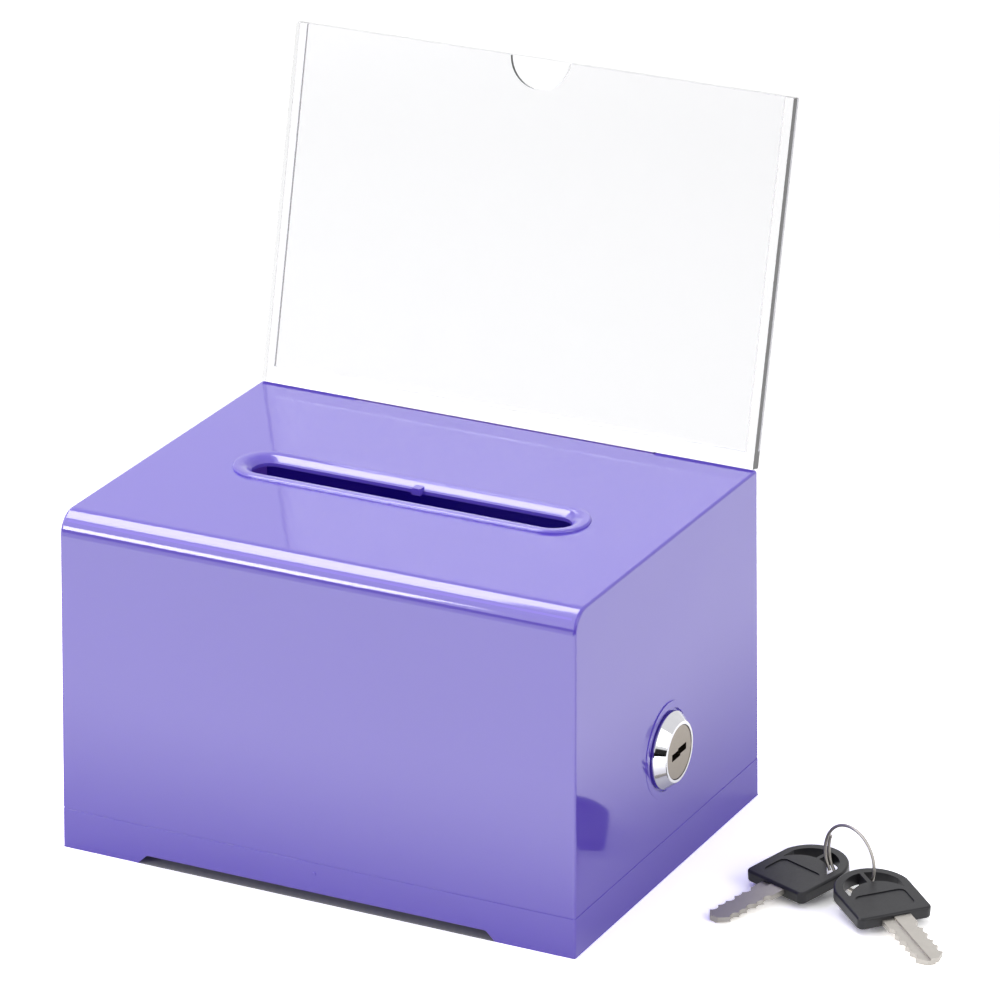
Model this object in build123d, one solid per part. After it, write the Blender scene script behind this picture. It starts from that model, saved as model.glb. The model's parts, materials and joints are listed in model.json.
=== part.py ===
from build123d import *
import math
import os

# Small lockable ballot box with a leaning clear sign holder, a cam lock and two keys on a ring.
# Millimetres. +X towards the lock, -Y the front. The sizes are laid out from the point on the table
# under the middle of the box. The whole set is then moved so that its origin is its bottom centre.

# Box shell
box_width = 158.0
box_depth = 118.1
box_height = 99.1
side_draft = 1.06
front_draft = 1.4
back_draft = 2.18
wall = 2.4
top_wall = 2.0
skirt_wall = 1.3
ledge_height = 11.5
front_radius = 6.5
edge_radius = 0.8
groove_height = 0.6
groove_depth = 0.16
gate_radius = 0.6
gate_height = 0.2
gate_place = 8.3
overrun = 1.0

# Shallow notch under the front and the back that leaves four feet
notch_width = 110.2
notch_height = 2.7
notch_slope = 2.9
notch_round = 1.0

# Ballot slot
slot_length = 97.6
slot_width = 9.9
slot_place = -1.3
rim_width = 5.3
rim_height = 0.8
rim_round = 0.7
rim_crown = 1.5
roll_drop = 1.8
nub_width = 2.6
nub_reach = 1.5

# Sign holder
sign_width = 154.4
sign_length = 103.5
sign_lean_angle = 13.0
sign_setback = 1.67
sign_seat_gap = 0.1
front_sheet = 1.3
pocket_gap = 1.1
back_sheet = 1.3
rail_width = 3.0
bottom_rail = 4.5
thumb_radius = 9.2
thumb_lift = 0.7
tab_width = 94.0
tab_depth = 8.0
tab_clearance = 0.2
sleeve_wall = 1.6

# Door in the floor of the box
door_thickness = 2.4
door_gap = 0.4
door_seat_gap = 0.3
hinge_radius = 2.3
hinge_pin_radius = 1.5
hinge_pin_length = 2.3
hinge_running_gap = 0.06
lug_radius = 2.9
lug_thickness = 3.0
lug_gap = 0.3
rib_thickness = 1.4
rib_depth = 2.0
rib_inset = 14.0
rib_rows = 3
rib_columns = 4
finger_radius = 8.0
finger_place = -28.0

# Cam lock
lock_place = -1.3
lock_height = 38.0
pad_radius = 13.75
lock_wall = 3.0
head_radius = 11.0
seat_depth = 0.7
seat_gap = 0.8
head_band = 0.8
head_height = 3.5
lip_radius = 8.6
lip_round = 0.3
barrel_radius = 9.5
barrel_length = 18.5
barrel_flat = 8.0
barrel_clearance = 0.15
thread_pitch = 1.0
thread_depth = 0.45
face_radius = 7.7
face_depth = 2.0
face_recess = 0.15
plug_radius = 6.0
plug_running_gap = 0.07
washer_thickness = 0.8
washer_radius = 13.0
washer_teeth = 12
washer_tooth = 1.0
nut_flats = 24.0
nut_thickness = 4.0
nut_thread_gap = 0.05

# Works of the lock
tail_side = 7.0
tail_gap = 0.1
keyway_gap = 0.3
keyway_back = 1.5
wafer_count = 5
wafer_pitch = 2.4
wafer_first = 2.5
wafer_thickness = 1.0
wafer_half_height = 3.6
wafer_gap = 0.1
wafer_draw = 0.25
ear_width = 0.9
ear_height = 1.0
ear_pocket = 5.2
spring_radius = 0.42
spring_wire = 0.12
spring_turns = 5
groove_reach = 1.0
retainer_reach = 0.8
retainer_place = 15.2
stop_inner = 6.9
stop_outer = 8.0
stop_rise = 1.0
stop_washer_thickness = 1.2
stop_disc_radius = 6.7
stop_tab_angle = 24.0
stop_margin_angle = 2.0
plug_turn = 90.0

# Cam, its washer and its screw
cam_reach = 25.0
cam_half_width = 5.5
cam_hub_radius = 8.0
cam_thickness = 2.0
cam_washer_radius = 4.6
cam_washer_thickness = 0.6
cam_screw_radius = 2.0
cam_screw_length = 4.6
cam_screw_head_radius = 3.8
cam_screw_head_height = 2.4
cross_width = 1.0
cross_length = 4.4
cross_depth = 1.3

# Catch on the door, held by the cam
catch_offset = 13.0
catch_width = 11.0
catch_wall = 2.5
catch_foot_length = 14.0
catch_foot_height = 4.0
catch_cam_gap = 1.0
catch_lip_gap = 0.5
catch_lip_reach = 1.2
gusset_height = 22.0
gusset_thickness = 2.0
catch_screw_radius = 1.5
catch_screw_gap = 0.2
catch_screw_bite = 3.2
catch_screw_head_radius = 2.8
catch_screw_head_height = 1.6
catch_screw_spacing = 6.0

# Keys
key_head_width = 22.0
key_head_length = 24.6
key_head_flat = 15.8
key_head_thickness = 3.6
key_head_round = 0.7
key_corner_round = 1.8
key_slot_width = 4.9
key_slot_rim = 2.6
key_slot_reach = 8.3
key_bar = 1.2
panel_length = 8.2
panel_width = 15.0
panel_depth = 0.3
panel_place = 7.3
blade_length = 22.5
blade_width = 8.4
blade_thickness = 2.0
blade_root = 7.7
blade_tip = 2.6
blade_groove = 1.5
blade_groove_depth = 0.55
blade_shoulder = 3.0
cut_pitch = 3.1
cut_radius = 1.7
cut_depth = 1.3
cut_depth_shares = (0.9, 0.55, 1.0, 0.7, 0.95)

# Points on each turn where the gap between turns is measured
gap_samples = 48

# Ring and how the keys lie on it
ring_radius = 9.45
ring_wire = 0.45
ring_pitch = 1.36
ring_start = 158.0
ring_overlap = 62.0
ring_x = 127.5
ring_y = 12.6
ring_heading = -23.7
key_a_heading = -111.4
key_a_tilt_angle = 5.6
key_a_across = 2.7
key_b_heading = -40.5
key_b_tilt_angle = 6.5
key_b_across = 1.9


def front_at(z):
    return -box_depth / 2 + front_draft * z / box_height


def back_at(z):
    return box_depth / 2 - back_draft * z / box_height


def side_at(z):
    return box_width / 2 - side_draft * z / box_height


# Places that follow from the sizes above
lock_face = side_at(lock_height - pad_radius)
lock_frame = Pos(lock_face, lock_place, lock_height) * Rot(Y=90)
lean = math.radians(sign_lean_angle)
sign_thickness = front_sheet + pocket_gap + back_sheet
sign_foot = back_at(box_height) - sign_setback
sign_lift = (back_at(box_height) - sign_foot) * math.tan(lean) + sign_seat_gap
sign_frame = Pos(0, sign_foot, box_height + sign_lift) * Rot(X=-sign_lean_angle)
hinge_x = -(side_at(ledge_height) - skirt_wall) + door_gap + hinge_radius
hinge_z = ledge_height - door_seat_gap - hinge_radius
door_top = ledge_height - door_seat_gap
door_right = side_at(ledge_height) - skirt_wall - door_gap
door_front = front_at(ledge_height) + skirt_wall + door_gap
door_back = back_at(ledge_height) - skirt_wall - door_gap
lug_front = front_at(ledge_height) + skirt_wall + lug_thickness
lug_back = back_at(ledge_height) - skirt_wall - lug_thickness
slot_cut = top_wall + rim_height + 2 * overrun
wafer_slot = wafer_thickness + 2 * wafer_gap
cam_outer = -barrel_length - stop_washer_thickness
cam_inner = cam_outer - cam_thickness
cam_plane_inner = lock_face + cam_inner
cam_plane_outer = lock_face + cam_outer
catch_face = cam_plane_inner - catch_cam_gap
catch_middle = lock_place + catch_offset + catch_width / 2
catch_under = lock_height + cam_half_width + catch_lip_gap
blade_low = (key_head_thickness - blade_thickness) / 2


def block(x_range, y_range, z_range):
    """Box between two corners."""
    size = [high - low for low, high in (x_range, y_range, z_range)]
    middle = [(high + low) / 2 for low, high in (x_range, y_range, z_range)]
    return Pos(*middle) * Box(*size)


def disc(radius, low, high):
    """Cylinder about the Z axis between two heights."""
    return Pos(0, 0, (low + high) / 2) * Cylinder(radius, high - low)


def rod_y(radius, x, z, low, high):
    """Cylinder along Y between two places."""
    return Pos(x, (low + high) / 2, z) * Rot(X=90) * Cylinder(radius, high - low)


def drafted_block(inset, low, high):
    """Block inside the four drafted walls, moved in by inset, between two heights."""
    sections = []
    for z in (low, high):
        width = 2 * (side_at(z) - inset)
        depth = back_at(z) - front_at(z) - 2 * inset
        middle = (back_at(z) + front_at(z)) / 2
        sections.append(Pos(0, middle, z) * Rectangle(width, depth))
    return loft(sections, ruled=True)


def upright_edges(solid):
    return solid.edges().filter_by(lambda edge: abs(edge.tangent_at(0.5).Z) > 0.9)


def front_top_edge(solid):
    return solid.edges().group_by(Axis.Z)[-1].sort_by(Axis.Y)[0]


def outer_body():
    """Drafted block with the large front radius and small radii on its other outer edges."""
    body = drafted_block(0, 0, box_height)
    body = fillet(front_top_edge(body), front_radius)
    sides = body.faces().sort_by(Axis.X)
    edges = sides[0].edges() + sides[-1].edges()
    edges = edges.filter_by(lambda edge: edge.center().Z > edge_radius)
    back_top = body.edges().group_by(Axis.Z)[-1].sort_by(Axis.Y)[-1]
    return fillet(list(edges) + [back_top], edge_radius)


def inner_cavity():
    """Hollow above the ledge and the wider hollow of the skirt under it."""
    cavity = drafted_block(wall, ledge_height - overrun, box_height - top_wall)
    cavity = fillet(front_top_edge(cavity), front_radius - wall)
    return cavity + drafted_block(skirt_wall, -overrun, ledge_height)


def witness_groove():
    """Shallow line round the outside at the height of the ledge."""
    high = ledge_height + groove_height
    core = drafted_block(groove_depth, ledge_height, high)
    core = fillet(upright_edges(core), edge_radius - groove_depth)
    return drafted_block(-overrun, ledge_height, high) - core


def foot_notch():
    """Shallow trapezoid cut through the front and the back skirt."""
    half = notch_width / 2
    outline = Polyline(
        (-half - notch_slope, -notch_height),
        (-half + notch_slope, notch_height),
        (half - notch_slope, notch_height),
        (half + notch_slope, -notch_height),
        close=True,
    )
    profile = make_face(outline)
    corners = profile.vertices().group_by(Axis.Y)[-1]
    profile = fillet(corners, notch_round)
    return extrude(Plane.XZ * profile, amount=box_depth, both=True)


def slot_shape(grow):
    """Ballot slot's outline, grown by grow on every side, at the height of the top."""
    outline = SlotOverall(slot_length + 2 * grow, slot_width + 2 * grow)
    return Pos(0, slot_place, box_height) * outline


def slot_rim():
    """Raised rounded plate from which the ballot slot and its rolled edge are cut."""
    rim = Pos(0, 0, -top_wall / 2) * extrude(slot_shape(rim_width), top_wall / 2 + rim_height)
    return fillet(rim.edges().group_by(Axis.Z)[-1], rim_round)


def slot_section():
    """Half section of the slot: upright wall, then the rolled edge that rises to the rim's crown."""
    half = slot_width / 2
    crown = half + rim_width - rim_crown
    roll = TangentArc((crown, rim_height), (half, rim_height - roll_drop), tangent=(-1, 0))
    floor = rim_height - slot_cut
    sides = Polyline((half, rim_height - roll_drop), (half, floor), (0, floor), (0, overrun + rim_height),
                     (crown, overrun + rim_height), (crown, rim_height))
    return make_face(roll + sides)


def slot_space():
    """Space of the ballot slot: a straight run with a round end at each side."""
    section = slot_section()
    run = (slot_length - slot_width) / 2
    front = extrude(Plane.YZ * section, run, both=True)
    turned = revolve(Plane.XZ * section, Axis.Z, revolution_arc=180)
    space = front + mirror(front, about=Plane.XZ)
    space += Pos(run, 0) * Rot(0, 0, -90) * turned
    space += Pos(-run, 0) * Rot(0, 0, 90) * turned
    return Pos(0, slot_place, box_height) * space


def slot_nub():
    """Small rib at the middle of the slot's rear wall."""
    back = slot_place + slot_width / 2
    half = nub_width / 2
    reach = (back - nub_reach, back + rim_width / 2)
    return block((-half, half), reach, (box_height - top_wall, box_height))


def lock_pad():
    """Flat round pad in the drafted side wall with a sunk seat for the lock's head."""
    pad = disc(pad_radius, -lock_wall, 0)
    return lock_frame * pad


def lock_seat():
    return lock_frame * disc(head_radius + seat_gap, -seat_depth, overrun)


def double_d(radius, flat, low, high):
    """Round bar with two flats, along the lock's axis."""
    return disc(radius, low, high) & block((-flat, flat), (-radius, radius), (low, high))


def lock_hole():
    radius = barrel_radius + barrel_clearance
    flat = barrel_flat + barrel_clearance
    return lock_frame * double_d(radius, flat, -lock_wall - overrun, overrun)


def hinge_lugs():
    """Two lugs inside the skirt at the left that carry the door's stub pins."""
    left = -(side_at(ledge_height) - skirt_wall / 2)
    lugs = []
    for y_range in ((door_front - door_gap - skirt_wall / 2, lug_front),
                    (lug_back, door_back + door_gap + skirt_wall / 2)):
        lug = rod_y(lug_radius, hinge_x, hinge_z, *y_range)
        lug += block((left, hinge_x), y_range, (hinge_z - lug_radius, ledge_height))
        lug += block((left, hinge_x + lug_radius), y_range, (hinge_z, ledge_height))
        lugs.append(lug)
    return lugs


def hinge_holes():
    radius = hinge_pin_radius + hinge_running_gap
    depth = hinge_pin_length + lug_gap
    front = rod_y(radius, hinge_x, hinge_z, lug_front - depth, lug_front + overrun)
    back = rod_y(radius, hinge_x, hinge_z, lug_back - overrun, lug_back + depth)
    return front + back


def tab_space(grow, depth, rise):
    """Space of the sign's tab, grown by grow all round, in the sign's own leaning frame."""
    half = tab_width / 2 + grow
    return sign_frame * block((-half, half), (-grow, front_sheet + grow), (-depth, rise))


def tab_sleeve():
    """Sleeve under the top, in front of the back wall, that holds the sign's tab."""
    half = tab_width / 2 + tab_clearance + sleeve_wall
    front = -tab_clearance - sleeve_wall
    solid = block((-half, half), (front, front_sheet + wall), (-tab_depth, -sign_lift))
    return (sign_frame * solid) & drafted_block(wall / 2, 0, box_height - top_wall / 2)


def gate_mark():
    """Tiny round mark left where the plastic was let into the mould."""
    front = front_at(gate_place)
    mark = rod_y(gate_radius, 0, gate_place, front - gate_height, front + skirt_wall / 2)
    return fillet(mark.edges().group_by(Axis.Y)[0], gate_height / 2)


def make_shell():
    shell = outer_body() - inner_cavity()
    shell -= witness_groove()
    shell += slot_rim()
    shell -= slot_space()
    shell += slot_nub()
    shell += lock_pad()
    shell -= lock_seat()
    shell -= lock_hole()
    for lug in hinge_lugs():
        shell += lug
    shell -= hinge_holes()
    shell += tab_sleeve()
    shell -= tab_space(tab_clearance, tab_depth + overrun, sign_lift + overrun)
    shell -= foot_notch()
    shell += gate_mark()
    return shell


def barrel_profile():
    """Half section of the threaded barrel, with one ring of thread for each pitch."""
    bore = plug_radius + plug_running_gap
    count = int((barrel_length - lock_wall) / thread_pitch)
    points = [(bore, 0), (barrel_radius, 0), (barrel_radius, -lock_wall)]
    for turn in range(count):
        top = -lock_wall - turn * thread_pitch
        points.append((barrel_radius - thread_depth, top - thread_pitch / 2))
        points.append((barrel_radius, top - thread_pitch))
    points.append((barrel_radius, -barrel_length))
    points.append((bore, -barrel_length))
    return points


def revolve_points(points):
    """Solid turned about Z from points given as radius and height."""
    outline = Polyline(*[(radius, 0, height) for radius, height in points], close=True)
    return revolve(make_face(outline), Axis.Z)


def sector(inner, outer, low, high, start, angle):
    """Part of a ring between two radii and two heights, over one angle from start."""
    reach = 2 * outer
    ring = disc(outer, low, high) - disc(inner, low - overrun, high + overrun)
    steps = max(2, math.ceil(angle / 60))
    corners = [(0, 0)]
    for step in range(steps + 1):
        turn = math.radians(start + angle * step / steps)
        corners.append((reach * math.cos(turn), reach * math.sin(turn)))
    wedge = extrude(make_face(Polyline(*corners, close=True)), high - low)
    return ring & (Pos(0, 0, low) * wedge)


def make_lock_housing():
    """Chrome head with its bevel, threaded barrel with two flats and the stop at its end."""
    bore = plug_radius + plug_running_gap
    counterbore = face_radius + plug_running_gap
    head = revolve_points([
        (bore, -seat_depth), (head_radius, -seat_depth), (head_radius, head_band), (lip_radius, head_height),
        (counterbore, head_height), (counterbore, head_height - face_depth),
        (bore, head_height - face_depth),
    ])
    rims = head.edges().filter_by(GeomType.CIRCLE)
    outer_rims = rims.filter_by(lambda rim: rim.radius > face_radius + 2 * plug_running_gap)
    head = fillet(outer_rims.filter_by(lambda rim: rim.center().Z > 0), lip_round)
    flats = block((-barrel_flat, barrel_flat), (-head_radius, head_radius), (-barrel_length, 0))
    barrel = revolve_points(barrel_profile()) & flats
    groove = disc(plug_radius + groove_reach, retainer_low(), retainer_low() + wafer_slot)
    gap_angle = plug_turn + stop_tab_angle + 2 * stop_margin_angle
    stop_start = stop_tab_angle / 2 + plug_turn + stop_margin_angle
    stop = sector(stop_inner, stop_outer, -barrel_length - stop_rise, -barrel_length + overrun,
                  stop_start, 360 - gap_angle)
    return lock_frame * (head + barrel + (stop & flats_band()) - groove)


def flats_band():
    """Space between the barrel's flats at its rear end."""
    return block((-barrel_flat, barrel_flat), (-head_radius, head_radius),
                 (-barrel_length - stop_rise, -barrel_length + overrun))


def retainer_low():
    return -retainer_place - wafer_gap


def make_lock_washer():
    """Toothed washer between the nut and the inside of the wall."""
    ring = Circle(washer_radius) - Circle(barrel_radius + barrel_clearance)
    ring -= PolarLocations(washer_radius, washer_teeth) * Circle(washer_tooth)
    low = -lock_wall - washer_thickness
    return lock_frame * Pos(0, 0, low) * extrude(ring, washer_thickness)


def make_lock_nut():
    """Thin hexagon nut on the barrel."""
    hexagon = RegularPolygon(nut_flats / 2, 6, major_radius=False) - Circle(barrel_radius + nut_thread_gap)
    low = -lock_wall - washer_thickness - nut_thickness
    nut = extrude(hexagon, nut_thickness)
    corner = nut_flats / math.sqrt(3)
    rounding = chamfer(disc(corner, 0, nut_thickness).edges(), (corner - nut_flats / 2) / 2)
    return lock_frame * Pos(0, 0, low) * (nut & rounding)


def key_section(grow):
    """Z shaped section of the key's blade, across its width in Y and its thickness in X."""
    half = blade_width / 2 + grow
    thin = blade_thickness - blade_groove_depth
    lower = (blade_thickness / 2 - thin - grow, blade_thickness / 2 + grow)
    upper = (-blade_thickness / 2 - grow, thin - blade_thickness / 2 + grow)
    near = Pos((lower[0] + lower[1]) / 2, (blade_groove / 2 - half) / 2) * Rectangle(
        lower[1] - lower[0], half + blade_groove / 2)
    far = Pos((upper[0] + upper[1]) / 2, (half - blade_groove / 2) / 2) * Rectangle(
        upper[1] - upper[0], half + blade_groove / 2)
    return near + far


def wafer_tops():
    """Upper face of each wafer's slot, from the front of the plug to its rear."""
    tops = [-wafer_first - turn * wafer_pitch for turn in range(wafer_count)]
    return tops + [retainer_low() + wafer_slot]


def make_lock_plug():
    """Turning plug: round face, shank with the keyway and the wafer slots, and a square tail."""
    top = head_height - face_recess
    rear = -barrel_length
    plug = disc(face_radius, head_height - face_depth, top) + disc(plug_radius, rear, top - face_recess)
    plug = fillet(plug.edges().group_by(Axis.Z)[-1], lip_round)
    tail_end = cam_inner + tail_gap
    half = tail_side / 2
    plug += block((-half, half), (-half, half), (tail_end, rear))
    keyway_low = rear + keyway_back
    plug -= Pos(0, 0, keyway_low) * extrude(key_section(keyway_gap), top - keyway_low + overrun)
    side = wafer_half_height + wafer_gap
    pocket = ear_pocket / 2
    for high in wafer_tops():
        levels = (high - wafer_slot, high)
        plug -= block((-side, side), (-2 * plug_radius, 2 * plug_radius), levels)
        plug -= block((side - wafer_gap, side + ear_height + wafer_gap), (-pocket, pocket), levels)
    plug -= disc(cam_screw_radius, tail_end - overrun, rear + screw_reach())
    return lock_frame * plug


def screw_reach():
    """How far the cam screw goes into the plug past the front of the tail."""
    return cam_screw_length - cam_washer_thickness - cam_thickness - stop_washer_thickness + tail_gap


def wafer(reach_front, reach_back, high):
    """Flat wafer with a window for the key and an ear for its spring."""
    low = high - wafer_gap - wafer_thickness
    side = wafer_half_height
    body = block((-side, side), (-reach_back, reach_front), (low, low + wafer_thickness))
    body &= disc(max(reach_front, reach_back), low, low + wafer_thickness)
    window = blade_width / 2 + keyway_gap
    body -= block((-blade_thickness / 2 - keyway_gap, blade_thickness / 2 + keyway_gap),
                  (-window, window), (low - overrun, low + wafer_thickness + overrun))
    ear_low = -ear_pocket / 2 + wafer_gap
    body += block((side - wafer_gap, side + ear_height), (ear_low, ear_low + ear_width),
                  (low, low + wafer_thickness))
    return body


def make_lock_wafers():
    reach = plug_radius - wafer_draw
    wafers = [wafer(reach, reach, high) for high in wafer_tops()[:-1]]
    return lock_frame * Compound(children=wafers)


def make_retaining_wafer():
    return lock_frame * wafer(plug_radius + retainer_reach, plug_radius - wafer_draw, wafer_tops()[-1])


def arc_pair(start, start_way, end, end_way):
    """Two arcs that meet smoothly, from one point and direction to another."""
    span = end - start
    ways = start_way + end_way
    square = 4 - ways.dot(ways)
    along = span.dot(ways)
    reach = (math.sqrt(along ** 2 + square * span.dot(span)) - along) / square
    first = start + start_way * reach
    last = end - end_way * reach
    middle = (first + last) / 2
    return [TangentArc(start, middle, tangent=start_way), TangentArc(middle, end, tangent=last - first)]


def wound_path(radius, pitch, turns):
    """Path that winds about Z from the X axis, as pairs of arcs of about half a turn each."""
    count = math.ceil(2 * turns)
    places = []
    for step in range(count + 1):
        turn = 2 * math.pi * turns * step / count
        place = Vector(radius * math.cos(turn), radius * math.sin(turn), pitch * turn / (2 * math.pi))
        way = Vector(-radius * math.sin(turn), radius * math.cos(turn), pitch / (2 * math.pi))
        places.append((place, way.normalized()))
    arcs = []
    for (start, start_way), (end, end_way) in zip(places, places[1:]):
        arcs += arc_pair(start, start_way, end, end_way)
    return Wire(arcs)


def round_wire(path, radius):
    section = Plane(origin=path @ 0, z_dir=path % 0) * Circle(radius)
    return sweep(section, path)


def least_gap(path, turns, wire):
    """Least gap between neighbouring turns of a wound wire, measured on points of its path."""
    count = math.ceil(gap_samples * turns)
    points = [path @ (step / count) for step in range(count + 1)]
    apart = gap_samples // 2
    gaps = [(points[late] - points[early]).length for early in range(count + 1)
            for late in range(early + apart, count + 1)]
    return min(gaps) - 2 * wire


def spring_start():
    """Place of a wafer spring's fixed end on the wafer's ear."""
    return -ear_pocket / 2 + wafer_gap + ear_width + spring_wire


def spring_length():
    return ear_pocket / 2 - spring_wire - spring_start()


def spring_place(high):
    """Place of the spring between a wafer's ear and the end of its pocket."""
    side = wafer_half_height + ear_height / 2
    return Pos(side, spring_start(), high - wafer_gap - wafer_thickness / 2) * Rot(X=-90)


def make_wafer_springs():
    """Springs of the wafers, one behind the other along the plug."""
    path = wound_path(spring_radius - spring_wire, spring_length() / spring_turns, spring_turns)
    print("wafer spring gap", least_gap(path, spring_turns, spring_wire))
    coil = round_wire(path, spring_wire)
    springs = [spring_place(high) * coil for high in wafer_tops()]
    return lock_frame * Compound(children=springs)


def square_hole(low, high):
    half = tail_side / 2 + tail_gap
    return block((-half, half), (-half, half), (low - overrun, high + overrun))


def make_stop_washer():
    """Washer on the square tail whose tab stops against the housing after a quarter turn."""
    low = cam_outer
    high = -barrel_length - tail_gap / 2
    washer = disc(stop_disc_radius, low, high)
    washer += sector(stop_disc_radius - overrun, stop_outer, low, high, -stop_tab_angle / 2, stop_tab_angle)
    return lock_frame * (washer - square_hole(low, high))


def make_cam():
    """Flat cam with a square hole; at rest its arm points down and lets the door go."""
    arm_end = cam_reach - cam_half_width
    shape = Circle(cam_hub_radius) + Pos(arm_end, 0) * Circle(cam_half_width)
    shape += Pos(arm_end / 2, 0) * Rectangle(arm_end, 2 * cam_half_width)
    cam = Pos(0, 0, cam_inner) * extrude(shape, cam_thickness)
    return lock_frame * (cam - square_hole(cam_inner, cam_outer))


def make_cam_washer():
    low = cam_inner - cam_washer_thickness
    hole = disc(cam_screw_radius + tail_gap, low - overrun, cam_inner + overrun)
    return lock_frame * (disc(cam_washer_radius, low, cam_inner) - hole)


def pan_screw(radius, length, cap_radius, cap_height):
    """Screw along Z with its head below zero and its shank going up from zero."""
    head = fillet(disc(cap_radius, -cap_height, 0).edges().group_by(Axis.Z)[0], cap_height / 2)
    screw = head + disc(radius, 0, length)
    half = cross_length * cap_radius / cam_screw_head_radius / 2
    depth = cross_depth * cap_height / cam_screw_head_height
    for angle in (0, 90):
        levels = (-cap_height - overrun, depth - cap_height)
        screw -= Rot(Z=angle) * block((-half, half), (-cross_width / 2, cross_width / 2), levels)
    return screw


def make_cam_screw():
    screw = pan_screw(cam_screw_radius, cam_screw_length, cam_screw_head_radius, cam_screw_head_height)
    return lock_frame * Pos(0, 0, cam_inner - cam_washer_thickness) * screw


def hinge_side_relief():
    """Space round the hinge lugs that the door leaves free."""
    reach = lug_radius + door_gap
    cuts = []
    for y_range in ((door_front - overrun, lug_front + lug_gap), (lug_back - lug_gap, door_back + overrun)):
        cuts.append(block((hinge_x - reach, hinge_x + reach), y_range, (0, box_height / 2)))
    return cuts


def door_ribs():
    """Grid of low ribs under the door."""
    low = door_top - door_thickness - rib_depth
    high = door_top - door_thickness / 2
    x_low = hinge_x + rib_inset
    x_high = door_right - rib_inset
    y_low = door_front + rib_inset
    y_high = door_back - rib_inset
    half = rib_thickness / 2
    ribs = []
    for row in range(rib_rows):
        y = y_low + (y_high - y_low) * row / (rib_rows - 1)
        ribs.append(block((x_low - half, x_high + half), (y - half, y + half), (low, high)))
    for column in range(rib_columns):
        x = x_low + (x_high - x_low) * column / (rib_columns - 1)
        ribs.append(block((x - half, x + half), (y_low, y_high), (low, high)))
    return ribs


def catch_screw_places():
    middle = catch_face - catch_wall - catch_foot_length / 2
    return [(middle, catch_middle + side * catch_screw_spacing / 2) for side in (-1, 1)]


def make_base_door():
    """Door that closes the box from below and swings down about its left edge."""
    door = block((hinge_x, door_right), (door_front, door_back), (door_top - door_thickness, door_top))
    for cut in hinge_side_relief():
        door -= cut
    barrel_front = lug_front + lug_gap
    barrel_back = lug_back - lug_gap
    door += rod_y(hinge_radius, hinge_x, hinge_z, barrel_front, barrel_back)
    for y_range in ((lug_front - hinge_pin_length, barrel_front + overrun),
                    (barrel_back - overrun, lug_back + hinge_pin_length)):
        door += rod_y(hinge_pin_radius, hinge_x, hinge_z, *y_range)
    for rib in door_ribs():
        door += rib
    finger = Cylinder(finger_radius, 2 * (door_thickness + rib_depth))
    door -= Pos(door_right, finger_place, door_top) * finger
    for x, y in catch_screw_places():
        door -= Pos(x, y) * disc(catch_screw_radius + catch_screw_gap, 0, box_height / 2)
        door -= Pos(x, y) * disc(catch_screw_head_radius + catch_screw_gap, 0, door_top - door_thickness)
    return door


def make_door_catch():
    """Bracket on the door whose lip the cam's arm goes under."""
    y_range = (catch_middle - catch_width / 2, catch_middle + catch_width / 2)
    back = catch_face - catch_wall
    top = catch_under + catch_wall
    catch = block((back - catch_foot_length, catch_face), y_range, (door_top, door_top + catch_foot_height))
    catch += block((back, catch_face), y_range, (door_top, top))
    catch += block((back, cam_plane_outer + catch_lip_reach), y_range, (catch_under, top))
    foot_top = door_top + catch_foot_height
    corners = [(back, foot_top), (back, foot_top + gusset_height), (back - catch_foot_length, foot_top)]
    web = extrude(Plane.XZ * make_face(Polyline(*corners, close=True)), gusset_thickness / 2, both=True)
    catch += Pos(0, catch_middle, 0) * web
    for x, y in catch_screw_places():
        catch -= Pos(x, y) * disc(catch_screw_radius, 0, door_top + catch_screw_bite)
    return catch


def make_catch_screws():
    low = door_top - door_thickness
    length = door_thickness + catch_screw_bite
    screw = pan_screw(catch_screw_radius, length, catch_screw_head_radius, catch_screw_head_height)
    screws = [Pos(x, y, low) * screw for x, y in catch_screw_places()]
    return Compound(children=screws)


def thumb_cut(low, high):
    """Round cut in the middle of a sheet's top edge."""
    centre = sign_length + thumb_lift
    return Pos(0, (low + high) / 2, centre) * Rot(X=90) * Cylinder(thumb_radius, high - low)


def make_sign_front():
    """Clear front sheet with the thumb notch, and the tab that goes into the box."""
    half = sign_width / 2
    sheet = block((-half, half), (0, front_sheet), (0, sign_length))
    sheet += block((-tab_width / 2, tab_width / 2), (0, front_sheet), (-tab_depth, overrun))
    return sign_frame * (sheet - thumb_cut(-overrun, front_sheet + overrun))


def make_sign_back():
    """Clear rear sheet with the rails that the front sheet is bonded to on three sides."""
    half = sign_width / 2
    inner = half - rail_width
    rails = front_sheet + pocket_gap
    body = block((-half, half), (front_sheet, sign_thickness), (0, sign_length))
    body -= block((-inner, inner), (0, rails), (bottom_rail, sign_length + overrun))
    return sign_frame * body


def kidney_slots():
    """Two curved slots near the head's rounded end, either side of a bar."""
    outer_far = -key_head_length + key_slot_rim
    outer = head_outline(key_slot_rim) & Pos(outer_far + key_slot_width, 0) * Rectangle(
        2 * key_slot_width, 2 * key_slot_reach)
    inner = Pos(key_slot_width, 0) * head_outline(key_slot_rim)
    slots = outer - inner
    return slots - Rectangle(4 * key_head_length, key_bar)


def head_outline(inset):
    """D shaped outline of a key's head: square at the blade, rounded at the far end."""
    half = key_head_width / 2 - inset
    flat = -key_head_flat
    far = -key_head_length + inset
    sides = Polyline((flat, half), (-inset, half), (-inset, -half), (flat, -half))
    end = ThreePointArc((flat, half), (far, 0), (flat, -half))
    return make_face(sides + end)


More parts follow.
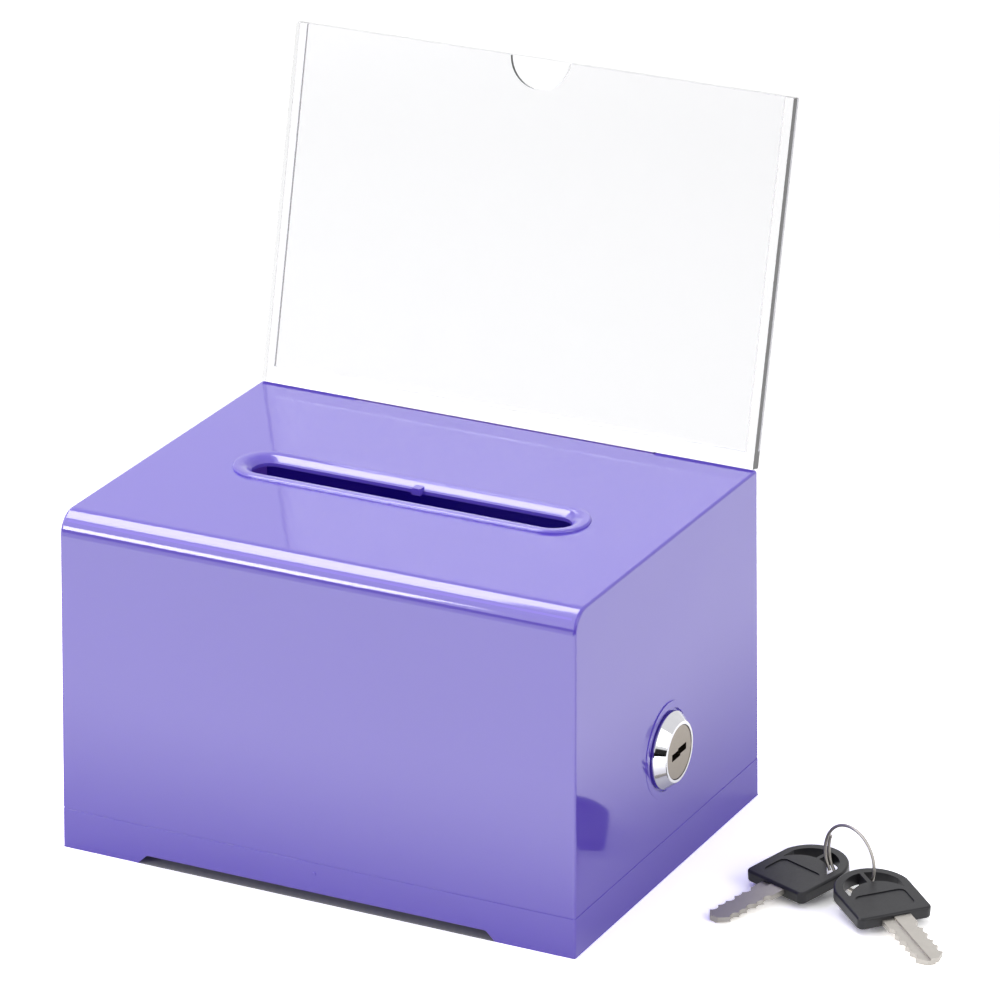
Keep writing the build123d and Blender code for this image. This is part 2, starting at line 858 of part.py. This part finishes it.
def make_key_head(frame):
    """Moulded head with two slots for the ring and a bare sunk panel on each face."""
    outline = head_outline(0)
    corners = outline.vertices().group_by(Axis.X)[-1]
    outline = fillet(corners, key_corner_round)
    head = extrude(outline, key_head_thickness)
    rims = head.edges().group_by(Axis.Z)
    head = fillet(rims[0] + rims[-1], key_head_round)
    head -= Pos(0, 0, -overrun) * extrude(kidney_slots(), key_head_thickness + 2 * overrun)
    panel = Pos(-panel_place, 0) * RectangleRounded(panel_length, panel_width, key_corner_round)
    head -= extrude(panel, panel_depth)
    head -= Pos(0, 0, key_head_thickness - panel_depth) * extrude(panel, panel_depth + overrun)
    head -= blade_body(0)
    return frame * head


def blade_body(length):
    """Key's blade without its cuts, from its root inside the head to the given length."""
    section = Plane.YZ * Rot(Z=90) * key_section(0)
    body = extrude(section, blade_root + length)
    return Pos(-blade_root, 0, key_head_thickness / 2) * body


def make_key_blade(frame):
    """Blade cut along both edges, with a bevelled tip."""
    blade = blade_body(blade_length)
    half = blade_width / 2
    for number, share in enumerate(cut_depth_shares):
        x = blade_shoulder + cut_pitch * (number + 1)
        for side in (-1, 1):
            centre = side * (half + cut_radius - cut_depth * share)
            cut = Pos(x, centre, key_head_thickness / 2) * Cylinder(cut_radius, 2 * key_head_thickness)
            blade -= cut
    for side in (-1, 1):
        corner = Pos(blade_length, side * half, key_head_thickness / 2) * Rot(Z=45)
        blade -= corner * Box(blade_tip * math.sqrt(2), blade_tip * math.sqrt(2), 2 * key_head_thickness)
    return frame * blade


# The ring stands upright. An angle on it is counted from its heading, upwards.
ring_frame = Pos(ring_x, ring_y, ring_radius + ring_wire) * Rot(Z=ring_heading) * Rot(X=90)


def ring_drift(angle):
    """How far the wire has moved along the ring's axis at an angle."""
    return ring_pitch * (angle - ring_start - 180) / 360


def ring_point(angle, shift):
    """Middle of the wire at an angle, moved along the ring's axis by shift."""
    turn = math.radians(angle)
    point = Pos(ring_radius * math.cos(turn), ring_radius * math.sin(turn), ring_drift(angle) + shift)
    return (ring_frame * point).position


def make_key_ring():
    """Wire ring wound a little more than once, its two ends lying side by side."""
    turns = (360 + ring_overlap) / 360
    path = wound_path(ring_radius, ring_pitch, turns)
    coil = round_wire(path, ring_wire)
    print("ring gap", least_gap(path, turns, ring_wire))
    print("ring volume over section times length", coil.volume / (path.length * math.pi * ring_wire ** 2))
    return ring_frame * Pos(0, 0, ring_drift(ring_start)) * Rot(Z=ring_start) * coil


def slot_middle(across):
    """Distance from the head's blade end to the middle of a kidney slot, across from its axis."""
    half = key_head_width / 2 - key_slot_rim
    far = key_head_length - key_slot_rim
    rise = far - key_head_flat
    radius = (half ** 2 + rise ** 2) / (2 * rise)
    return far - radius + math.sqrt(radius ** 2 - across ** 2) - key_slot_width / 2


def key_frame(heading, tilt_angle, across, side, shift):
    """Place of a key: its tip on the table, the ring's wire through the slot at across."""
    tilt = math.radians(tilt_angle)
    height = blade_length * math.sin(tilt) - blade_low * math.cos(tilt)
    along = slot_middle(across + ring_wire)
    level = height + along * math.sin(tilt) + key_head_thickness / 2 * math.cos(tilt)
    rise = math.degrees(math.asin((level - ring_radius - ring_wire) / ring_radius))
    angle = 180 - rise if side < 0 else 360 + rise
    held = ring_point(angle, shift)
    turned = Rot(Z=heading) * Rot(Y=tilt_angle)
    offset = (turned * Pos(-along, across, key_head_thickness / 2)).position
    return Pos(held.X - offset.X, held.Y - offset.Y, height) * turned


# The wire lies double where it goes through key A
key_a_frame = key_frame(key_a_heading, key_a_tilt_angle, key_a_across, -1, ring_pitch / 2)
key_b_frame = key_frame(key_b_heading, key_b_tilt_angle, key_b_across, 1, 0)

pieces = {
    "shell": make_shell,
    "base_door": make_base_door,
    "door_catch": make_door_catch,
    "catch_screws": make_catch_screws,
    "lock_housing": make_lock_housing,
    "lock_washer": make_lock_washer,
    "lock_nut": make_lock_nut,
    "lock_plug": make_lock_plug,
    "lock_wafers": make_lock_wafers,
    "retaining_wafer": make_retaining_wafer,
    "wafer_springs": make_wafer_springs,
    "stop_washer": make_stop_washer,
    "cam": make_cam,
    "cam_washer": make_cam_washer,
    "cam_screw": make_cam_screw,
    "sign_front": make_sign_front,
    "sign_back": make_sign_back,
    "key_ring": make_key_ring,
    "key_a_head": lambda: make_key_head(key_a_frame),
    "key_a_blade": lambda: make_key_blade(key_a_frame),
    "key_b_head": lambda: make_key_head(key_b_frame),
    "key_b_blade": lambda: make_key_blade(key_b_frame),
}

# The whole set is moved so that the origin is the bottom centre of its bounding box
shapes = {name: make() for name, make in pieces.items()}
spans = [shape.bounding_box() for shape in shapes.values()]
middle_x = (min(span.min.X for span in spans) + max(span.max.X for span in spans)) / 2
middle_y = (min(span.min.Y for span in spans) + max(span.max.Y for span in spans)) / 2
to_origin = Pos(-middle_x, -middle_y, 0)

os.makedirs("parts", exist_ok=True)
for name, shape in shapes.items():
    export_step(to_origin * shape, "parts/" + name + ".step")

print("moved by", to_origin.position)
print("ring centre", (to_origin * ring_frame).position)
print("lock axis", (to_origin * lock_frame).position)
print("door hinge", (to_origin * Pos(hinge_x, 0, hinge_z)).position)
print("right foot", (to_origin * Pos(side_at(0) - skirt_wall / 2, 0, 0)).position)
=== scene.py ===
import json
import math

import bmesh
import bpy
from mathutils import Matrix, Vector


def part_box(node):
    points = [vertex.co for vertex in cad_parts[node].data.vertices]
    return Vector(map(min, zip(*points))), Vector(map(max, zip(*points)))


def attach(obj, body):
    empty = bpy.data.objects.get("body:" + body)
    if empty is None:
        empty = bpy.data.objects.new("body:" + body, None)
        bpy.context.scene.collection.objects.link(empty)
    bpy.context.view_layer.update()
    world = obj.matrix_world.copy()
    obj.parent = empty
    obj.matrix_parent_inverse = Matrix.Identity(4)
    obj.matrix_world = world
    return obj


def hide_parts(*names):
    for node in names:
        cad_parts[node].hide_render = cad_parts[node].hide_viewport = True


# The looks of the ballot box: clear sign holder, glossy lilac box, chrome lock and keys. Metres.
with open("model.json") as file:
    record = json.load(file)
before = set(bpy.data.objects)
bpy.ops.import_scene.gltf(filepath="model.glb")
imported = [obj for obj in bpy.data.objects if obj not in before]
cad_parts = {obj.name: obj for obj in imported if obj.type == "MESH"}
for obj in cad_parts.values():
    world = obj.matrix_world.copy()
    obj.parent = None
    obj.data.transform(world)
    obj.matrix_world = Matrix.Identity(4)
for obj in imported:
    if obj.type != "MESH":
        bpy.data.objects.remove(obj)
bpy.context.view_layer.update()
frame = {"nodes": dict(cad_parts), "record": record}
nodes = frame["nodes"]
scene = bpy.context.scene
scene.view_settings.view_transform = "Standard"

# Everything is placed from the point on the table under the middle of the box
box_low, box_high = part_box("shell")
box_middle = Vector(((box_low.x + box_high.x) / 2, (box_low.y + box_high.y) / 2, 0))

# Camera, at the photograph's viewing angle
camera_target = box_middle + Vector((0.026906, 0.000041, 0.101386))
camera_azimuth = math.radians(26.707)
camera_elevation = math.radians(21.94)
camera_distance = 1.671711
camera_lens = 221.34
sensor_width = 36.0
clip_near = 0.05
clip_far = 50

# Colours, linear
lilac = (0.165, 0.108, 0.685)
# Colour of the painted glow on the faces inside the box
painted_glow_colour = (0.30, 0.12, 1.0)
clear_tint = (0.993, 0.993, 1.0)
edge_tint = (0.80, 0.79, 0.86)
chrome_colour = (0.69, 0.69, 0.72)
plug_colour = (0.27, 0.237, 0.197)
key_metal = (0.46, 0.437, 0.405)
zinc_colour = (0.56, 0.56, 0.57)
brass_colour = (0.72, 0.53, 0.24)
black_colour = (0.017, 0.017, 0.02)

# Light levels of the room: what lights the object, what reflections see in its dark strip and in the
# left end of that strip, and white
room_level = 0.52
dark_level = 0.03
left_dark_level = 0.5
white_level = 1.0

# Soft lamps: name, azimuth and elevation in degrees, width, height and watts
lamps = (
    ("left_lamp", -97, 62, 1.25, 0.4, 10.8),
    ("front_lamp", -31, 17.7, 0.35, 0.35, 4.0),
    ("right_lamp", 80, 25, 0.8, 0.8, 4.5),
)
lamp_distance = 1.6
lamp_aim_height = 0.08

# White table: its size, the tone with which it lights the object, and how bright it is seen: painted
# shade under the box, painted light near it that outshines its shadow, further off and towards its
# rim
floor_size = 6.0
floor_bounce = 0.62
floor_under_painted_shade = 0.45
floor_near = 2.35
floor_far = 1.15
floor_near_radius = 0.16
floor_far_radius = 0.30
floor_rim_gain = 1.3
floor_rim_start = 0.58
floor_rim_end = 1.6

# How bright reflections see the table, which shines more away from the box. The starts and ends are
# distances in front of the box, to its right and from its middle.
floor_mirrored = 0.8
front_shine = 2.5
right_shine = 1.0
back_shine = 0.7
front_shine_start = -0.04
front_shine_end = 0.11
right_shine_start = -0.01
right_shine_end = 0.07
back_shine_start = 0.12
back_shine_end = 0.26

# In front of the box reflections see the table end between two distances from its middle. Beyond that
# the table is dark at the right and has this level at the left.
front_side = 0.05
front_end_near = 0.40
front_end_far = 0.55
left_end_level = 0.62

# Reflections see the front of the room dark below this height, a part of a unit direction
strip_high = 0.16
strip_soft = 0.03

# Where the front and the left of the room fade out, as parts of a unit direction
front_start = 0.0
front_end = 0.35
left_start = -0.35
left_end = -0.05

# How much brighter reflections see the left of the room, behind and in front
left_rear_level = 0.40
left_front_level = 1.8

# Painted glow for light let through the thin walls, seen on faces that lie this deep inside the box
inside_glow = 0.10
inside_depth = 0.0028
inside_rear_depth = 0.0042
inside_low = 0.0125

# Sign holder
sign_round = 0.00025
sign_round_steps = 2
sign_lean = math.radians(13)
weld_distance = 0.00001
rail_overlap = 0.00005
flat_angle = math.radians(1)
sharp_angle = math.radians(35)
sheet_face_from = 0.8
sheet_face_to = 0.98

# Plastic of the box: blotches of tone, uneven gloss, waves of the moulding and fine grain
box_index = 1.54
box_specular = 0.72
box_tone_size = 0.06
box_tones = (0.975, 1.025)
box_gloss_size = 0.004
box_gloss = (0.045, 0.075)
box_wave_size = 0.03
box_wave_depth = 0.00012
box_grain_size = 0.0012
box_grain_depth = 0.0000012
box_scatter = 0.25
box_scatter_radius = (1.0, 0.45, 0.9)
box_scatter_depth = 0.0022

# Clear plastic
clear_index = 1.49
clear_shade = (0.93, 0.93, 0.94)
clear_gloss_size = 0.02
clear_gloss = (0.0, 0.008)
clear_wave_size = 0.05
clear_wave_depth = 0.00001

# Metals: blotches of tone and gloss, so many times as large as the grain, then for each metal its
# colour, least and most roughness, and the size and depth of its grain
metal_tones = (0.93, 1.04)
metal_blotches = 6
metal_gloss = 2
metals = {
    "lock_chrome": (chrome_colour, 0.03, 0.08, 0.0006, 0.000001),
    "plug_metal": (plug_colour, 0.24, 0.36, 0.0004, 0.000006),
    "screw_steel": (zinc_colour, 0.25, 0.42, 0.0005, 0.000004),
    "wafer_brass": (brass_colour, 0.2, 0.35, 0.0004, 0.000004),
    "key_steel": (key_metal, 0.40, 0.56, 0.0006, 0.00003),
}

# Black plastic of the key heads
black_specular = 0.36
black_tone_size = 0.003
black_tones = (0.8, 1.3)
black_gloss_size = 0.0008
black_gloss = (0.30, 0.46)
black_grain_size = 0.00022
black_grain_depth = 0.000012


def set_camera():
    """Camera that looks at the middle of the object from the front right, a little above."""
    back = Vector((
        math.sin(camera_azimuth) * math.cos(camera_elevation),
        -math.cos(camera_azimuth) * math.cos(camera_elevation),
        math.sin(camera_elevation),
    ))
    data = bpy.data.cameras.new("camera")
    data.lens = camera_lens
    data.sensor_width = sensor_width
    data.clip_start = clip_near
    data.clip_end = clip_far
    camera = bpy.data.objects.new("camera", data)
    camera.location = camera_target + back * camera_distance
    camera.rotation_euler = (-back).to_track_quat("-Z", "Y").to_euler()
    scene.collection.objects.link(camera)
    scene.camera = camera


# Materials

def new_material(name):
    """Material with a Principled shader, and its nodes and links."""
    material = bpy.data.materials.new(name)
    material.use_nodes = True
    tree = material.node_tree
    shader = tree.nodes["Principled BSDF"]
    return material, tree, shader


def add_node(tree, kind, **values):
    node = tree.nodes.new(kind)
    for name, value in values.items():
        setattr(node, name, value)
    return node


def object_point(tree):
    """Place in the object's own frame, in metres."""
    return add_node(tree, "ShaderNodeTexCoord").outputs["Object"]


def place_parts(tree, output="Object"):
    """X, Y and Z of a place, or of a direction where the output is Generated."""
    place = add_node(tree, "ShaderNodeTexCoord")
    parts = add_node(tree, "ShaderNodeSeparateXYZ")
    tree.links.new(place.outputs[output], parts.inputs["Vector"])
    return parts.outputs


def noise(tree, point, size, detail=2.0):
    """Soft noise whose blotches are about size metres across."""
    node = add_node(tree, "ShaderNodeTexNoise")
    node.inputs["Scale"].default_value = 1 / size
    node.inputs["Detail"].default_value = detail
    tree.links.new(point, node.inputs["Vector"])
    return node.outputs["Fac"]


def spread(tree, value, low, high):
    """Maps a 0 to 1 value to the range from low to high."""
    node = add_node(tree, "ShaderNodeMapRange")
    node.inputs["To Min"].default_value = low
    node.inputs["To Max"].default_value = high
    tree.links.new(value, node.inputs["Value"])
    return node.outputs["Result"]


def bump(tree, height, distance, normal=None):
    node = add_node(tree, "ShaderNodeBump")
    node.inputs["Distance"].default_value = distance
    tree.links.new(height, node.inputs["Height"])
    if normal is not None:
        tree.links.new(normal, node.inputs["Normal"])
    return node.outputs["Normal"]


def tinted(tree, value, low_colour, high_colour):
    """Colour between two near colours, by a 0 to 1 value."""
    node = add_node(tree, "ShaderNodeMix", data_type="RGBA")
    node.inputs["A"].default_value = (*low_colour, 1)
    node.inputs["B"].default_value = (*high_colour, 1)
    tree.links.new(value, node.inputs["Factor"])
    return node.outputs["Result"]


def combine(tree, operation, first, second):
    node = add_node(tree, "ShaderNodeMath", operation=operation)
    tree.links.new(first, node.inputs[0])
    tree.links.new(second, node.inputs[1])
    return node.outputs["Value"]


def times(tree, first, second):
    return combine(tree, "MULTIPLY", first, second)


def largest(tree, first, second):
    return combine(tree, "MAXIMUM", first, second)


def scaled(tree, value, factor):
    node = add_node(tree, "ShaderNodeMath", operation="MULTIPLY")
    node.inputs[1].default_value = factor
    tree.links.new(value, node.inputs[0])
    return node.outputs["Value"]


def shade(colour, factor):
    return tuple(part * factor for part in colour)


def tones(tree, value, colour, factors):
    """Colour that varies between a darker and a lighter tone of itself."""
    return tinted(tree, value, shade(colour, factors[0]), shade(colour, factors[1]))


def within(tree, value, low, high):
    """1 where a value lies between two limits."""
    above = add_node(tree, "ShaderNodeMath", operation="GREATER_THAN")
    above.inputs[1].default_value = low
    tree.links.new(value, above.inputs[0])
    below = add_node(tree, "ShaderNodeMath", operation="LESS_THAN")
    below.inputs[1].default_value = high
    tree.links.new(value, below.inputs[0])
    return times(tree, above.outputs["Value"], below.outputs["Value"])


def painted_inside_glow(tree):
    """Painted glow of the faces inside the box, which stands in for light through the thin walls."""
    parts = place_parts(tree)
    wide = within(tree, parts["X"], box_low.x + inside_depth, box_high.x - inside_depth)
    deep = within(tree, parts["Y"], box_low.y + inside_depth, box_high.y - inside_rear_depth)
    high = within(tree, parts["Z"], inside_low, box_high.z - inside_depth)
    return scaled(tree, times(tree, times(tree, wide, deep), high), inside_glow)


def make_box_plastic():
    """Glossy moulded polystyrene, a little translucent, with the faint waves of a moulding and a
    painted glow on the faces inside the box.
    """
    material, tree, shader = new_material("box_plastic")
    point = object_point(tree)
    tone = tones(tree, noise(tree, point, box_tone_size), lilac, box_tones)
    tree.links.new(tone, shader.inputs["Base Color"])
    rough = spread(tree, noise(tree, point, box_gloss_size, detail=3), *box_gloss)
    tree.links.new(rough, shader.inputs["Roughness"])
    shader.inputs["IOR"].default_value = box_index
    shader.inputs["Specular IOR Level"].default_value = box_specular
    shader.inputs["Subsurface Weight"].default_value = box_scatter
    shader.inputs["Subsurface Radius"].default_value = box_scatter_radius
    shader.inputs["Subsurface Scale"].default_value = box_scatter_depth
    shader.inputs["Emission Color"].default_value = (*painted_glow_colour, 1)
    tree.links.new(painted_inside_glow(tree), shader.inputs["Emission Strength"])
    waves = bump(tree, noise(tree, point, box_wave_size, detail=1), box_wave_depth)
    grain = bump(tree, noise(tree, point, box_grain_size), box_grain_depth, normal=waves)
    tree.links.new(grain, shader.inputs["Normal"])
    return material


def facing_sheet(tree):
    """1 on the broad faces of the leaning sheets and 0 on their cut edges."""
    place = add_node(tree, "ShaderNodeTexCoord")
    along = add_node(tree, "ShaderNodeVectorMath", operation="DOT_PRODUCT")
    along.inputs[1].default_value = (0, math.cos(sign_lean), -math.sin(sign_lean))
    tree.links.new(place.outputs["Normal"], along.inputs[0])
    size = add_node(tree, "ShaderNodeMath", operation="ABSOLUTE")
    tree.links.new(along.outputs["Value"], size.inputs[0])
    step = add_node(tree, "ShaderNodeMapRange")
    step.inputs["From Min"].default_value = sheet_face_from
    step.inputs["From Max"].default_value = sheet_face_to
    tree.links.new(size.outputs["Value"], step.inputs["Value"])
    return step.outputs["Result"]


def make_clear_plastic():
    """Clear polished sheet. Light that it would shade passes through it."""
    material, tree, shader = new_material("clear_plastic")
    point = object_point(tree)
    flat = facing_sheet(tree)
    tree.links.new(tinted(tree, flat, edge_tint, clear_tint), shader.inputs["Base Color"])
    shader.inputs["IOR"].default_value = clear_index
    shader.inputs["Transmission Weight"].default_value = 1.0
    rough = spread(tree, noise(tree, point, clear_gloss_size), *clear_gloss)
    tree.links.new(rough, shader.inputs["Roughness"])
    waves = bump(tree, noise(tree, point, clear_wave_size, detail=0), clear_wave_depth)
    tree.links.new(waves, shader.inputs["Normal"])
    path = add_node(tree, "ShaderNodeLightPath")
    passing = largest(tree, path.outputs["Is Shadow Ray"], path.outputs["Is Diffuse Ray"])
    clear = add_node(tree, "ShaderNodeBsdfTransparent")
    clear.inputs["Color"].default_value = (*clear_shade, 1)
    mix = add_node(tree, "ShaderNodeMixShader")
    tree.links.new(passing, mix.inputs["Fac"])
    tree.links.new(shader.outputs["BSDF"], mix.inputs[1])
    tree.links.new(clear.outputs["BSDF"], mix.inputs[2])
    tree.links.new(mix.outputs["Shader"], tree.nodes["Material Output"].inputs["Surface"])
    return material


def make_metal(name, colour, low_rough, high_rough, grain_size, grain_depth):
    """Metal with uneven tone and gloss and a fine grain."""
    material, tree, shader = new_material(name)
    point = object_point(tree)
    shader.inputs["Metallic"].default_value = 1.0
    blotches = noise(tree, point, grain_size * metal_blotches, detail=3)
    tone = tones(tree, blotches, colour, metal_tones)
    tree.links.new(tone, shader.inputs["Base Color"])
    gloss = noise(tree, point, grain_size * metal_gloss, detail=4)
    rough = spread(tree, gloss, low_rough, high_rough)
    tree.links.new(rough, shader.inputs["Roughness"])
    grain = bump(tree, noise(tree, point, grain_size), grain_depth)
    tree.links.new(grain, shader.inputs["Normal"])
    return material


def make_black_plastic():
    """Black moulding with a fine spark-eroded texture."""
    material, tree, shader = new_material("black_plastic")
    point = object_point(tree)
    tone = tones(tree, noise(tree, point, black_tone_size, detail=3), black_colour, black_tones)
    tree.links.new(tone, shader.inputs["Base Color"])
    rough = spread(tree, noise(tree, point, black_gloss_size, detail=3), *black_gloss)
    shader.inputs["Specular IOR Level"].default_value = black_specular
    tree.links.new(rough, shader.inputs["Roughness"])
    grain = bump(tree, noise(tree, point, black_grain_size), black_grain_depth)
    tree.links.new(grain, shader.inputs["Normal"])
    return material


def assign(piece, material):
    piece.data.materials.clear()
    piece.data.materials.append(material)


# Sign holder

def apply_modifiers(piece):
    """Gives the piece the mesh that its modifiers make of it."""
    bpy.context.view_layer.update()
    shown = piece.evaluated_get(bpy.context.evaluated_depsgraph_get())
    mesh = bpy.data.meshes.new_from_object(shown)
    piece.modifiers.clear()
    piece.data = mesh


def weld(mesh, merge_flat=False):
    """Welds doubled points of a mesh, and merges its flat faces if asked."""
    work = bmesh.new()
    work.from_mesh(mesh)
    bmesh.ops.remove_doubles(work, verts=work.verts, dist=weld_distance)
    if merge_flat:
        bmesh.ops.dissolve_limit(work, angle_limit=flat_angle, verts=work.verts, edges=work.edges)
    work.to_mesh(mesh)
    work.free()


def clean_copy(node, name):
    """Copy of a CAD node with doubled points welded."""
    mesh = nodes[node].data.copy()
    mesh.name = name
    weld(mesh)
    piece = bpy.data.objects.new(name, mesh)
    scene.collection.objects.link(piece)
    return piece


def sink_rails(rear):
    """Lets the rails of the rear sheet reach a hair into the front sheet, so that the two join."""
    inwards = Vector((0, math.cos(sign_lean), -math.sin(sign_lean)))
    depths = [corner.co.dot(inwards) for corner in rear.data.vertices]
    nearest = min(depths)
    for corner, depth in zip(rear.data.vertices, depths):
        if depth < nearest + weld_distance:
            corner.co -= inwards * rail_overlap


def make_sign_holder(material):
    """Both sheets of the sign holder bonded into one clear piece with softened edges."""
    holder = clean_copy("sign_front", "sign_holder")
    rear = clean_copy("sign_back", "sign_rear")
    sink_rails(rear)
    union = holder.modifiers.new("bond", "BOOLEAN")
    union.operation = "UNION"
    union.solver = "EXACT"
    union.object = rear
    apply_modifiers(holder)
    bpy.data.objects.remove(rear)
    weld(holder.data, merge_flat=True)
    rounding = holder.modifiers.new("rounding", "BEVEL")
    rounding.width = sign_round
    rounding.segments = sign_round_steps
    rounding.limit_method = "ANGLE"
    rounding.angle_limit = sharp_angle
    apply_modifiers(holder)
    assign(holder, material)
    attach(holder, "sign")
    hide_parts("sign_front", "sign_back")


# Stage and light

def ramp(tree, value, start, end, low, high):
    """Smooth step of a value from low at start to high at end."""
    node = add_node(tree, "ShaderNodeMapRange", interpolation_type="SMOOTHSTEP")
    node.inputs["From Min"].default_value = start
    node.inputs["From Max"].default_value = end
    node.inputs["To Min"].default_value = low
    node.inputs["To Max"].default_value = high
    tree.links.new(value, node.inputs["Value"])
    return node.outputs["Result"]


def far_from_box(tree, near, far, level=1):
    """0 within one distance of the middle of the box, on the table, and a level beyond another."""
    place = add_node(tree, "ShaderNodeTexCoord")
    from_box = add_node(tree, "ShaderNodeVectorMath", operation="DISTANCE")
    from_box.inputs[1].default_value = tuple(box_middle)
    tree.links.new(place.outputs["Object"], from_box.inputs[0])
    return ramp(tree, from_box.outputs["Value"], near, far, 0, level)


def blend_values(tree, factor, low, high):
    """Value between low and high, each a number or a socket."""
    node = add_node(tree, "ShaderNodeMix", data_type="FLOAT")
    tree.links.new(factor, node.inputs["Factor"])
    for name, value in (("A", low), ("B", high)):
        if isinstance(value, (int, float)):
            node.inputs[name].default_value = value
        else:
            tree.links.new(value, node.inputs[name])
    return node.outputs["Result"]


def clear_rays(tree, path):
    """1 for rays from the camera and through clear pieces."""
    return largest(tree, path.outputs["Is Camera Ray"], path.outputs["Is Transmission Ray"])


def seen_tone(tree, parts):
    """Tone of the table as seen directly: a gain that keeps it white, raised near the box as painted
    light against its shadow, and painted shade under the box.
    """
    # Painted light near the box, which outshines the box's shadow on the table
    near = far_from_box(tree, floor_near_radius, floor_far_radius)
    seen = blend_values(tree, near, floor_near, floor_far)
    rim = far_from_box(tree, floor_rim_start, floor_rim_end, floor_rim_gain)
    seen = combine(tree, "ADD", seen, rim)
    # Painted shade on the table under the box
    wide = within(tree, parts["X"], box_low.x, box_high.x)
    deep = within(tree, parts["Y"], box_low.y, box_high.y)
    return blend_values(tree, times(tree, wide, deep), seen, floor_under_painted_shade)


def front_end_light(tree, parts):
    """How much of the table's light reflections see: all of it, but less beyond its front end."""
    front = ramp(tree, parts["Y"], box_low.y - front_side, box_low.y, 1, 0)
    beyond = ramp(tree, parts["X"], box_low.x, box_high.x, left_end_level, 0)
    near = blend_values(tree, far_from_box(tree, front_end_near, front_end_far), 1.0, beyond)
    return blend_values(tree, front, 1.0, near)


def table_shine(tree, parts):
    """Extra light that reflections see in the table, away from the box."""
    front = ramp(tree, parts["Y"], box_low.y - front_shine_end, box_low.y - front_shine_start,
                 front_shine, 0)
    right = ramp(tree, parts["X"], box_high.x + right_shine_start, box_high.x + right_shine_end,
                 0, right_shine)
    back = far_from_box(tree, back_shine_start, back_shine_end, back_shine)
    return largest(tree, largest(tree, front, right), back)


def floor_shader(tree):
    """Matt white whose tone depends on the kind of ray, with a shine that only reflections see."""
    path = add_node(tree, "ShaderNodeLightPath")
    parts = place_parts(tree)
    lit = front_end_light(tree, parts)
    mirrored = scaled(tree, lit, floor_mirrored)
    tone = blend_values(tree, path.outputs["Is Glossy Ray"], floor_bounce, mirrored)
    tone = blend_values(tree, clear_rays(tree, path), tone, seen_tone(tree, parts))
    matt = add_node(tree, "ShaderNodeBsdfDiffuse")
    tree.links.new(tone, matt.inputs["Color"])
    shine = times(tree, table_shine(tree, parts), times(tree, lit, path.outputs["Is Glossy Ray"]))
    shine = blend_values(tree, path.outputs["Is Transmission Ray"], shine, 0.0)
    glow = add_node(tree, "ShaderNodeEmission")
    tree.links.new(shine, glow.inputs["Strength"])
    both = add_node(tree, "ShaderNodeAddShader")
    tree.links.new(matt.outputs["BSDF"], both.inputs[0])
    tree.links.new(glow.outputs["Emission"], both.inputs[1])
    return both.outputs["Shader"]


def make_floor():
    """White table that keeps the object's soft shadow."""
    mesh = bpy.data.meshes.new("floor")
    half = floor_size / 2
    corners = [(-half, -half, 0), (half, -half, 0), (half, half, 0), (-half, half, 0)]
    mesh.from_pydata(corners, [], [(0, 1, 2, 3)])
    floor = bpy.data.objects.new("floor", mesh)
    scene.collection.objects.link(floor)
    material, tree, shader = new_material("floor")
    tree.nodes.remove(shader)
    tree.links.new(floor_shader(tree), tree.nodes["Material Output"].inputs["Surface"])
    assign(floor, material)


def make_world():
    """Even light from all round; reflections see a bright room with a dark strip low in front."""
    world = bpy.data.worlds.new("studio")
    scene.world = world
    world.use_nodes = True
    tree = world.node_tree
    ground = tree.nodes["Background"]
    ground.inputs["Color"].default_value = (1, 1, 1, 1)
    path = add_node(tree, "ShaderNodeLightPath")
    parts = place_parts(tree, "Generated")
    front = ramp(tree, parts["Y"], front_start, front_end, 1, 0)
    left = ramp(tree, parts["X"], left_start, left_end, 1, 0)
    left_level = blend_values(tree, front, left_rear_level, left_front_level)
    room = add_node(tree, "ShaderNodeMath", operation="ADD")
    room.inputs[0].default_value = white_level
    tree.links.new(times(tree, left, left_level), room.inputs[1])
    low = ramp(tree, parts["Z"], strip_high, strip_high + strip_soft, 1, 0)
    dark = blend_values(tree, left, dark_level, left_dark_level)
    room = blend_values(tree, times(tree, low, front), room.outputs["Value"], dark)
    clear = blend_values(tree, clear_rays(tree, path), room_level, white_level)
    final = blend_values(tree, path.outputs["Is Glossy Ray"], clear, room)
    tree.links.new(final, ground.inputs["Strength"])


def add_lamp(name, azimuth, elevation, width, height, watts):
    """Soft rectangular lamp aimed at the box; azimuth 0 is in front, to -Y, and -90 is to -X."""
    turn = math.radians(azimuth)
    rise = math.radians(elevation)
    way = Vector((math.sin(turn) * math.cos(rise), -math.cos(turn) * math.cos(rise), math.sin(rise)))
    data = bpy.data.lights.new(name, "AREA")
    data.shape = "RECTANGLE"
    data.size = width
    data.size_y = height
    data.energy = watts
    lamp = bpy.data.objects.new(name, data)
    lamp.location = box_middle + Vector((0, 0, lamp_aim_height)) + way * lamp_distance
    lamp.rotation_euler = way.to_track_quat("Z", "Y").to_euler()
    scene.collection.objects.link(lamp)


set_camera()
make_world()
for lamp in lamps:
    add_lamp(*lamp)
make_floor()

finishes = {name: make_metal(name, *values) for name, values in metals.items()}
finishes["box_plastic"] = make_box_plastic()
finishes["clear_plastic"] = make_clear_plastic()
finishes["black_plastic"] = make_black_plastic()
for part in frame["record"]["subparts"]:
    assign(nodes[part["node"]], finishes[part["material_slot"]])

make_sign_holder(finishes["clear_plastic"])
